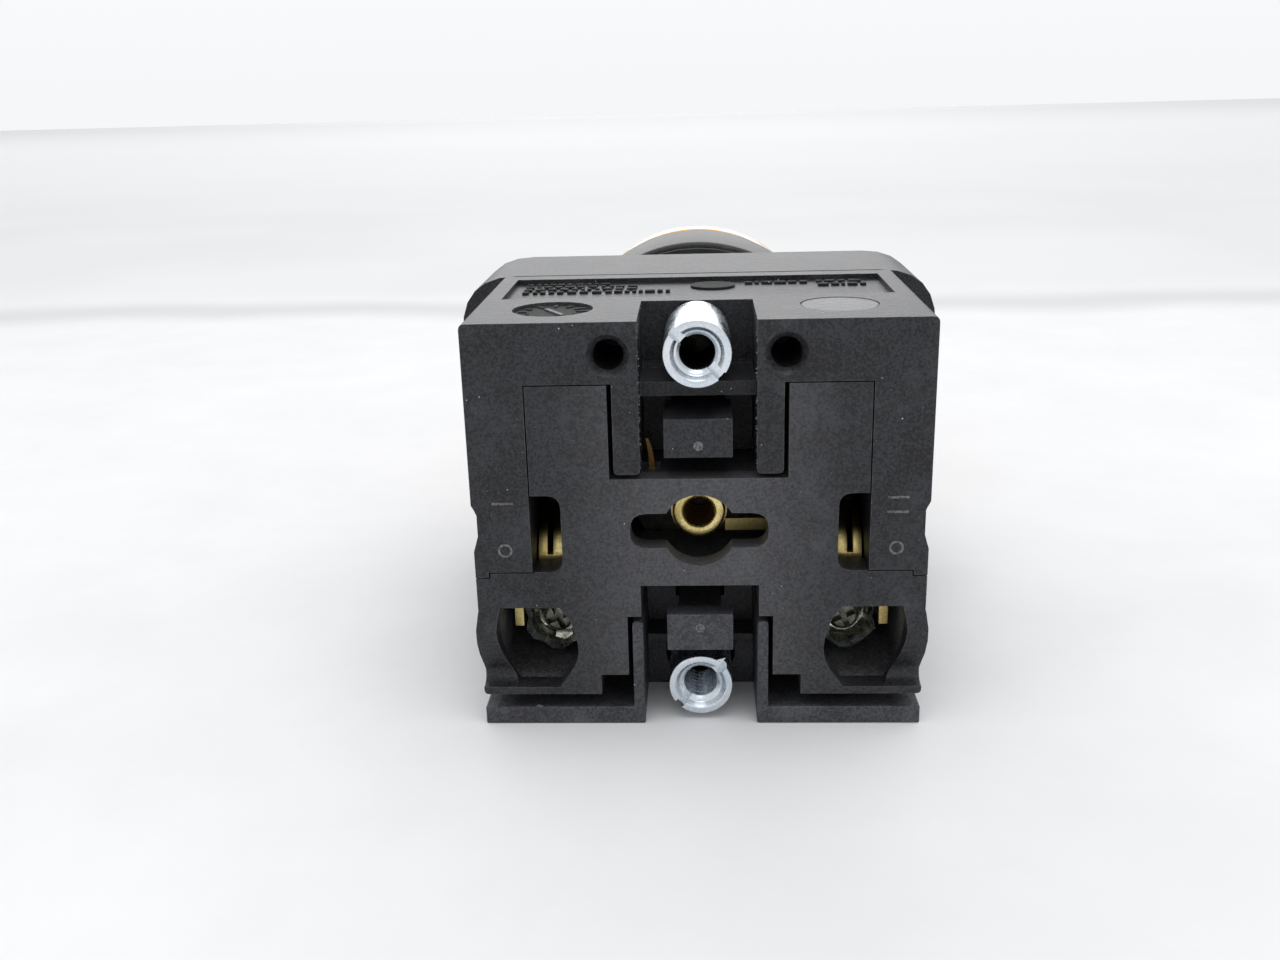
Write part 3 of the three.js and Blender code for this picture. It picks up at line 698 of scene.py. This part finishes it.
def joined(meshes, name):
    """One mesh of several separate closed bodies."""
    bm = bmesh.new()
    for mesh in meshes:
        bm.from_mesh(mesh)
    whole = bpy.data.meshes.new(name)
    bm.to_mesh(whole)
    bm.free()
    return whole


# ---- Screws and the lamp contact ----


def cut_thread(bm, centre, bore, first_y, last_y, pitch, depth):
    """Moves the bore's points out and in along a helix."""
    for vert in bm.verts:
        across = Vector((vert.co.x - centre.x, vert.co.z - centre.z))
        if abs(across.length - bore) > 0.01 * MM or not last_y <= vert.co.y <= first_y:
            continue
        turns = vert.co.y / pitch - math.atan2(across.y, across.x) / (2 * math.pi)
        ramp = abs(2 * (turns % 1) - 1)
        scale = 1 + depth * ramp / across.length
        vert.co.x = centre.x + across.x * scale
        vert.co.z = centre.z + across.y * scale


def stacking_screw(node, shoulder_mm, bore_mm, dark_mm, slot_angle):
    """Hollow screw: turned end with a chamfer, a threaded bore and a driver slot.

    The shoulder's and the bore's depths, and the depth from which the bore is painted dark as shade, are
    from the screw's rear end.
    """
    low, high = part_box(node)
    centre = centre_of(node)
    radius, rear, front = (high.x - low.x) / 2, high.y, low.y
    bore, shank = 0.53 * radius, 0.55 * radius
    shoulder = rear - shoulder_mm * MM
    pitch = 0.5 * MM
    thread = [(bore, rear - 0.8 * MM)]
    while thread[-1][1] > rear - bore_mm * MM:
        thread.append((bore, thread[-1][1] - pitch / 6))
    rim = [(0.62 * radius, rear - 0.5 * MM, 1), (0.68 * radius, rear - 0.42 * MM, 1)]
    rim += [(0.80 * radius, rear, 0.6), (radius, rear, 0.8)]
    outside = [(radius, shoulder, 1), (shank, shoulder), (shank, front + 0.3 * MM, 1), (0.8 * shank, front)]
    inside = [(0, thread[-1][1] - 0.6 * MM)]
    mouth = rounded([(bore, rear - 0.7 * MM)] + rim + outside + [(0, front)], 0.12 * MM)
    bm = turned_bm(inside + thread[::-1] + mouth, centre)
    cut_thread(bm, centre, bore, thread[0][1], thread[-1][1], pitch, 0.13 * MM)
    obj = new_object("fine_" + node, mesh_from(bm, node), ZINC)
    slot_size = (3 * radius, 1.6 * MM, 0.62 * MM)
    cut_with(obj, [bar_mesh(Vector((centre.x, rear, centre.z)), slot_size, slot_angle)])
    # Painted shade: the bore's faces deeper than dark_mm get the dark bore material.
    paint(obj, BORE_SHADE, lambda middle: (
        math.hypot(middle.x - centre.x, middle.z - centre.z) < 0.6 * radius
        and front + 2 * MM < middle.y < rear - dark_mm * MM
    ))
    smooth(obj.data, 30)
    return stand_for(obj, node)


def slot_burr(node, angle):
    """A spike of metal that a driver has turned up at the slot's edge."""
    low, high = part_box(node)
    centre = centre_of(node)
    radius = (high.x - low.x) / 2
    outward = Vector((math.cos(angle), 0, math.sin(angle)))
    sideways = Vector((outward.z, 0, -outward.x))
    root = Vector((centre.x, high.y, centre.z)) + outward * (radius * 0.86)
    bm = bmesh.new()
    points = [
        root + sideways * 0.30 * MM - outward * 0.3 * MM,
        root + sideways * 0.30 * MM + outward * 0.28 * MM,
        root + sideways * 0.72 * MM + outward * 0.02 * MM,
        root + sideways * 0.30 * MM + outward * 0.78 * MM,
    ]
    depths = (0.1 * MM, 0.4 * MM)
    verts = [bm.verts.new(point - Vector((0, depth, 0))) for depth in depths for point in points]
    bmesh.ops.convex_hull(bm, input=verts)
    return extra(new_object("burr_" + node, mesh_from(bm, "burr"), ZINC), node)


def plain_screw(node, head_mm, shank_share, slot_width_mm, slot_turns, material):
    """Solid threaded screw, with a head where head_mm isn't 0, and one or two driver slots."""
    low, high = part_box(node)
    centre = centre_of(node)
    radius, rear, front = (high.x - low.x) / 2, high.y, low.y
    shank = radius * shank_share
    root = shank * 0.86
    pitch = 0.45 * MM
    threads = []
    y = rear - (head_mm + 0.25) * MM
    while y - pitch > front + 0.3 * MM:
        threads += [(shank, y), (shank, y - 0.1 * MM), (root, y - 0.22 * MM), (root, y - 0.3 * MM)]
        y -= pitch
    top = rounded([(0, rear), (radius * 0.78, rear, 1), (radius, rear - 0.2 * MM, 1)], 0.2 * MM)
    under = [(radius, rear - head_mm * MM), (shank, rear - head_mm * MM)] if head_mm else []
    tip = [(shank, y), (shank * 0.8, front), (0, front)]
    bm = turned_bm(top + under + threads + tip, centre, 64)
    obj = new_object("fine_" + node, mesh_from(bm, node), material)
    length = 3 * radius if len(slot_turns) == 1 else 1.5 * radius
    mouth = Vector((centre.x, rear, centre.z))
    size = (length, 1.2 * MM, slot_width_mm * MM)
    cut_with(obj, [bar_mesh(mouth, size, angle) for angle in slot_turns])
    smooth(obj.data, 30)
    return stand_for(obj, node)


def contact_eyelet():
    """Brass tube in the keyhole, with a rolled rim and a bore painted darker as shade."""
    node = "contact_eyelet"
    low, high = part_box(node)
    centre = centre_of(node)
    radius, rear, front = (high.x - low.x) / 2, high.y, low.y
    bore, tube = 1.0 * MM, 1.45 * MM
    loop = rounded([
        (bore, front), (bore, rear, 1), (radius, rear, 1), (radius, rear - 0.5 * MM, 1),
        (tube, rear - 0.6 * MM), (tube, front),
    ], 0.4 * MM, 5)
    obj = new_object("fine_" + node, mesh_from(turned_bm(loop, centre, 64), node), GILT)
    # Painted shade: the bore's faces get the darker tarnished brass.
    paint(obj, TARNISH_AND_BORE_SHADE, lambda middle: (
        math.hypot(middle.x - centre.x, middle.z - centre.z) < 1.02 * bore
        and middle.y < rear - 0.5 * MM
    ))
    smooth(obj.data, 40)
    return stand_for(obj, node)


# ---- Crimped clamp washers ----


def clamp_washer(node, seed):
    """Thin plated cup, crumpled and pushed outward by the screw, with an uneven wavy rim."""
    chance = random.Random(seed)
    low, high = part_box(node)
    centre = centre_of(node)
    lean = Vector((math.copysign(0.12 * MM, centre.x), 0, -0.15 * MM))
    radius, rear, front = (high.x - low.x) / 2, high.y, low.y
    segments, waves = 18, 6
    height = rear - front
    bowl = [(0.50, 0.05), (0.70, 0.14), (0.86, 0.36), (0.96, 0.66), (1.04, 1.0)]
    back = [(r + 0.045, h - 0.06) for r, h in reversed(bowl)]
    bm = turned_bm([(r * radius, front + h * height) for r, h in bowl + back], centre, segments)
    dents = [[(chance.gauss(0, 1), chance.gauss(0, 1)) for _ in range(segments)] for _ in bowl]
    lift = [chance.uniform(0.2, 1.0) for _ in range(waves)]
    for index, vert in enumerate(bm.verts):
        ring, segment = divmod(index, segments)
        level = min(ring, 2 * len(bowl) - 1 - ring)
        share = level / (len(bowl) - 1)
        fold = waves * segment / segments
        ridge = abs(2 * (fold % 1) - 1) * lift[int(fold)]
        sideways, along = dents[level][segment]
        scale = 1 - 0.16 * share * ridge + 0.035 * sideways
        vert.co.x = centre.x + (vert.co.x - centre.x) * scale
        vert.co.z = centre.z + (vert.co.z - centre.z) * scale
        vert.co.y = min(rear, vert.co.y + 0.07 * MM * along - 0.5 * height * share ** 2 * ridge)
        vert.co += lean * share
    obj = new_object("fine_" + node, mesh_from(bm, node), CRIMPED)
    # Painted highlight: the rim's faces get the brighter zinc.
    paint(obj, ZINC, lambda middle: middle.y > rear - 0.45 * height)
    smooth(obj.data, 9)
    return stand_for(obj, node)


def widen_fork(bm):
    """Brings the fork's outer edge up to the upper shell's leg, which hides it."""
    for vert in bm.verts:
        if vert.co.z > FORK_FOOT and abs(abs(vert.co.x) - FORK_EDGE) < 0.01 * MM:
            vert.co.x += math.copysign(FORK_WIDENED, vert.co.x)


# ---- Operator head ----


def cut_flutes(bm, centre, inner):
    """Waves the wall's inner side, whose radius is inner, in and out round the axis."""
    flutes, flute_depth = 60, 0.07 * MM
    for vert in bm.verts:
        across = Vector((vert.co.x - centre.x, vert.co.z - centre.z))
        if abs(across.length - inner) < 0.01 * MM:
            flute = math.cos(flutes * math.atan2(across.y, across.x))
            scale = 1 + flute_depth * flute / across.length
            vert.co.x = centre.x + across.x * scale
            vert.co.z = centre.z + across.y * scale


def lens_cap():
    """Domed amber cap, with fine flutes inside its wall."""
    node = "lens_cap"
    low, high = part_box(node)
    centre = centre_of(node)
    radius, rear, front = (high.x - low.x) / 2, high.y, low.y
    skirt = radius - 0.4 * MM
    crown_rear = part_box("bezel_ring")[0].y - TRAVEL - 0.3 * MM
    wall = 1.0 * MM
    dome = 0.6 * MM
    corner, corner_depth = 2.6 * MM, 2.4 * MM
    crown = [(0, front)]
    steps = 8
    for step in range(1, steps + 1):
        share = step / steps
        crown.append(((radius - corner) * share, front + dome * share ** 2))
    edge = []
    for step in range(1, steps + 1):
        angle = math.pi / 2 * step / steps
        edge.append((
            radius - corner + corner * math.sin(angle),
            front + dome + corner_depth * (1 - math.cos(angle)),
        ))
    inside = [
        (radius, crown_rear - 0.4 * MM), (skirt, crown_rear), (skirt, rear), (skirt - wall, rear),
        (skirt - wall, front + 4.2 * MM), (radius - corner, front + 2.4 * MM),
        (radius * 0.5, front + 1.6 * MM), (0, front + 1.5 * MM),
    ]
    bm = turned_bm(crown + edge + inside, centre, 180)
    cut_flutes(bm, centre, skirt - wall)
    obj = new_object("fine_" + node, mesh_from(bm, node), AMBER)
    smooth(obj.data, 30)
    return stand_for(obj, node)


def bezel_ring():
    """Front ring with softly rounded edges."""
    node = "bezel_ring"
    low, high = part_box(node)
    centre = centre_of(node)
    radius, rear, front = (high.x - low.x) / 2, high.y, low.y
    bore, seat, lip = 13.0 * MM, radius - 1.15 * MM, 10.6 * MM
    loop = rounded([
        (seat, rear, 0.3), (radius, rear, 1.4), (radius, front, 1.4), (bore, front, 0.5),
        (bore, rear - 2.3 * MM), (lip, rear - 2.3 * MM, 0.5), (lip, rear - 1.7 * MM, 0.5),
        (seat, rear - 1.7 * MM),
    ], 0.45 * MM, 5)
    obj = new_object("fine_" + node, mesh_from(turned_bm(loop, centre, 144), node), BLACK_CLEAN)
    smooth(obj.data, 30)
    return stand_for(obj, node)


def return_spring():
    """Round-wire coil between the barrel's ledge and the sleeve's shoulder."""
    node = "return_spring"
    low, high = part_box(node)
    centre = centre_of(node)
    wire = 0.42 * MM
    coil = (high.x - low.x) / 2 - wire
    turns, per_turn, sides = 6, 48, 10
    rise = high.y - low.y - 2 * wire
    bm = bmesh.new()
    rings = []
    for step in range(turns * per_turn + 1):
        share = step / (turns * per_turn)
        angle = 2 * math.pi * turns * share
        out = Vector((math.cos(angle), 0, math.sin(angle)))
        middle = Vector((centre.x, low.y + wire + rise * share, centre.z)) + out * coil
        ring = []
        for side in range(sides):
            turn = 2 * math.pi * side / sides
            offset = out * math.cos(turn) + Vector((0, math.sin(turn), 0))
            ring.append(bm.verts.new(middle + offset * wire * 0.98))
        rings.append(ring)
    for first, second in zip(rings, rings[1:]):
        for side in range(sides):
            after = (side + 1) % sides
            bm.faces.new((first[side], first[after], second[after], second[side]))
    bm.faces.new(rings[0])
    bm.faces.new(rings[-1])
    obj = new_object("fine_" + node, mesh_from(bm, node), STEEL)
    smooth(obj.data, 40)
    stand_for(obj, node)
    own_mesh(obj)
    return obj


# ---- Small detail on the lamp block ----

# The label's rows of bars, in mm: distance from the rear face, first x, last x, longest bar
LABEL_ROWS = (
    (16.7, 12.7, 6.0, 0.8),
    (15.6, 12.7, 4.2, 0.8),
    (14.5, 12.7, 4.0, 0.8),
    (13.3, 12.7, 1.4, 0.8),
    (16.2, -3.6, -8.2, 0.9),
    (16.4, -8.9, -12.4, 0.9),
    (15.0, -8.9, -12.4, 0.9),
)

# Middles of the discs on the top face, in mm: x, and distance from the rear face
LABEL_DISC = (-1.2, 15.4)
DATE_DISC = (9.55, 4.9)
EJECTOR_DISC = (-9.4, 5.1)

# Edges of the slot round the upper stacking screw, in mm: half its width, and its ends in z
SLOT_EDGE = 3.78
SLOT_ENDS = (18.4, 27.9)


def row_of_bars(y, first_x, last_x, longest):
    """Plain raised bars in a row along X, in millimetres, with the row's end left ragged."""
    bars = []
    x = first_x
    while x > last_x + 0.3:
        length = min(random.uniform(0.25, longest), x - last_x)
        middle = Vector(((x - length / 2) * MM, REAR - y * MM, TOP - LABEL_DEPTH + 0.05 * MM))
        size = (length * MM, random.uniform(0.35, 0.62) * MM, 0.26 * MM)
        bars.append(bar_mesh(middle, size, bevel=0.05 * MM))
        x -= length + random.uniform(0.15, 0.32)
    return bars


def flat_disc(x, y, top_z, radius, squeeze=1.0):
    """A thin disc on the top face, x and y and radius in millimetres, with its upper side at top_z."""
    bm = bmesh.new()
    edge, depth = radius * MM, 0.1 * MM
    bmesh.ops.create_cone(bm, segments=48, radius1=edge, radius2=edge, depth=depth, cap_ends=True)
    bmesh.ops.scale(bm, vec=(1, squeeze, 1), verts=bm.verts)
    bmesh.ops.translate(bm, vec=(x * MM, REAR - y * MM, top_z - 0.05 * MM), verts=bm.verts)
    return mesh_from(bm, "disc")


def label_bars():
    """Rows of plain raised bars in the label recess, where such a block has its rating."""
    bars = []
    for row in LABEL_ROWS:
        bars += row_of_bars(*row)
    bars.append(flat_disc(*LABEL_DISC, TOP - 0.24 * MM, 1.65, squeeze=0.9))
    obj = new_object("label_bars", joined(bars, "label_bars"), BLACK_ROUGH)
    smooth(obj.data)
    return extra(obj, "upper_shell")


def spoke(centre, angle, reach, size):
    """A bar along the angle, with its middle at reach from the centre."""
    bm = bmesh.new()
    bmesh.ops.create_cube(bm, size=1)
    bmesh.ops.scale(bm, vec=size, verts=bm.verts)
    bmesh.ops.translate(bm, vec=(reach, 0, 0), verts=bm.verts)
    bmesh.ops.rotate(bm, cent=(0, 0, 0), matrix=Matrix.Rotation(angle, 3, "Z"), verts=bm.verts)
    bmesh.ops.translate(bm, vec=centre, verts=bm.verts)
    return mesh_from(bm, "spoke")


def date_disc():
    """Rough disc with plain ticks and a pale hand, in the recess near the corner of the top face."""
    x, y = DATE_DISC
    centre = Vector((x * MM, REAR - y * MM, TOP - 0.22 * MM))
    pieces = [flat_disc(x, y, TOP - 0.24 * MM, 2.6)]
    for tick in range(12):
        length = random.uniform(0.4, 0.9) * MM
        pieces.append(spoke(centre, math.tau * tick / 12, 2.0 * MM, (length, 0.2 * MM, 0.16 * MM)))
    obj = new_object("date_disc", joined(pieces, "date_disc"), BLACK_ROUGH)
    hand = spoke(centre, 2.1, 0.3 * MM, (2.6 * MM, 0.3 * MM, 0.2 * MM))
    extra(new_object("date_hand", hand, BLACK_PALE), "upper_shell")
    return extra(obj, "upper_shell")


def ejector_mark():
    """Smoother, paler round left by the mould's ejector on the top face."""
    obj = new_object("ejector_mark", flat_disc(*EJECTOR_DISC, TOP - 0.03 * MM, 2.5), BLACK_EVEN)
    return extra(obj, "upper_shell")


def terminal_marks():
    """Plain strokes and a ring on the outer legs, one stroke on one side and two on the other."""
    strokes = []
    leg = 12.9 * MM
    inner, outer = 0.34 * MM, 0.48 * MM
    proud, sunk = REAR + 0.01 * MM, REAR - 0.05 * MM
    ring = [(inner, proud), (outer, proud), (outer, sunk), (inner, sunk)]
    for side, heights in ((1, (16.2,)), (-1, (16.4, 15.4))):
        for height in heights:
            place = Vector((side * leg, REAR - 0.01 * MM, height * MM))
            strokes.append(bar_mesh(place, (1.4 * MM, 0.05 * MM, 0.16 * MM), bevel=0.015 * MM))
        centre = Vector((side * leg, 0, 12.9 * MM))
        strokes.append(mesh_from(turned_bm(ring, centre, 32), "ring"))
    obj = new_object("terminal_marks", joined(strokes, "terminal_marks"), BLACK_PALE)
    return extra(obj, "upper_shell")


def gate_mark(node, drop_mm):
    """Rough spot left by the mould on a push rod's end."""
    low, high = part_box(node)
    centre = Vector(((low.x + high.x) / 2, high.y, (low.z + high.z) / 2 - drop_mm * MM))
    bm = bmesh.new()
    bmesh.ops.create_icosphere(bm, subdivisions=3, radius=0.30 * MM)
    for vert in bm.verts:
        ripple = 1 + random.uniform(-0.16, 0.16)
        vert.co = Vector((vert.co.x * ripple, vert.co.y * 0.16 * ripple, vert.co.z * ripple)) + centre
    obj = new_object("gate_" + node, mesh_from(bm, "gate"), BLACK_PALE)
    return extra(obj, node)


def chip(place, size):
    bm = bmesh.new()
    bmesh.ops.create_icosphere(bm, subdivisions=1, radius=size)
    for vert in bm.verts:
        vert.co = place + vert.co * random.uniform(0.55, 1.2)
    return mesh_from(bm, "chip")


def mould_flash():
    """Crumbs of plastic along the edges of the upper screw slot, and a burr on one rail."""
    chips = []
    for side in (-1, 1):
        for _ in range(60):
            x = side * (SLOT_EDGE + random.uniform(-0.08, 0.03)) * MM
            y = REAR - abs(random.gauss(0, 0.08)) * MM - 0.05 * MM
            z = random.uniform(*SLOT_ENDS) * MM
            chips.append(chip(Vector((x, y, z)), random.uniform(0.03, 0.07) * MM))
        for _ in range(22):
            x = side * (SLOT_EDGE + random.uniform(-0.05, 0.10)) * MM
            y = REAR - random.uniform(0.2, 7.0) * MM
            chips.append(chip(Vector((x, y, TOP - 0.08 * MM)), random.uniform(0.03, 0.06) * MM))
    for step in range(7):
        rail_top = Vector((11.2 * MM, REAR - 0.12 * MM, 1.2 * MM))
        along = Vector((0.09 * step - 0.25, 0, 0.16 * math.sin(0.5 * step) - 0.05)) * MM
        chips.append(chip(rail_top + along, (0.13 - 0.012 * step) * MM))
    obj = new_object("mould_flash", joined(chips, "mould_flash"), BLACK_PALE)
    return extra(obj, "upper_shell")


# ---- Everything in place ----


def make_mouldings():
    refined("upper_shell", BLACK, 0.11)
    seams_mm = (-WELL_MIDDLE_MM, 0, WELL_MIDDLE_MM)
    shell = refined("lower_shell", BLACK_WORN, 0.10, adjust=close_parting_gaps, seams_mm=seams_mm)
    # Painted reflection: the wells' faces deeper than their mouths get the paler plastic.
    paint(shell, BLACK_PALE, in_terminal_well)
    refined("bottom_cover", BLACK_DUSTY, 0.20, segments=3)
    refined("push_rod_lower", BLACK_DUSTY, 0.08)
    for node in ("push_rod_upper", "button_sleeve", "operator_barrel"):
        refined(node, BLACK, 0.08)
    refined("mounting_collar", BLACK, 0.35, segments=3)
    for node in ("panel_gasket", "plunger_seal"):
        refined(node, RUBBER, 0.12)
    refined("diffuser_plate", WHITE, 0.15)


def make_lamp_and_contacts():
    refined("socket_insulator", FIBRE, 0.06)
    refined("eyelet_strip", BRASS, 0.05)
    refined("socket_strip", TARNISH_AND_BORE_SHADE, 0.05)
    refined("lamp_socket", DULL, 0.05)
    for side in SIDES:
        refined("terminal_plate_" + side, FORK_BRASS, 0.06, adjust=widen_fork)
    contact_eyelet()
    base = refined("lamp_base", STEEL, 0.15)
    # Painted shade: the lamp base is dark where it lies deep in the bore.
    paint(base, BORE_SHADE, lambda middle: middle.y > REAR - SHADED_LAMP_DEPTH)
    refined("lamp_glass", GLASS, 0.6, segments=4)


def make_head():
    lens_cap()
    bezel_ring()
    return_spring()


def make_screws():
    stacking_screw(
        "stacking_screw_upper", shoulder_mm=6.9, bore_mm=6.3, dark_mm=1.3, slot_angle=-SLOT_TURN,
    )
    stacking_screw(
        "stacking_screw_lower", shoulder_mm=7.4, bore_mm=5.6, dark_mm=4.8, slot_angle=SLOT_TURN,
    )
    slot_burr("stacking_screw_lower", math.pi - SLOT_TURN)
    cross = (0.4, 0.4 + math.pi / 2)
    for number, side in enumerate(SIDES):
        clamp_washer("clamp_washer_" + side, seed=11 + number)
        plain_screw("terminal_screw_" + side, 0.6, 0.78, 0.42, cross, DULL)
        plain_screw("clamp_screw_" + side, 0, 1.0, 0.5, (0.5,), ZINC)


def make_small_detail():
    label_bars()
    date_disc()
    ejector_mark()
    terminal_marks()
    gate_mark("push_rod_upper", 0.5)
    gate_mark("push_rod_lower", -0.3)
    mould_flash()


make_camera()
make_lights()
make_table()
make_mouldings()
make_lamp_and_contacts()
make_head()
make_screws()
make_small_detail()
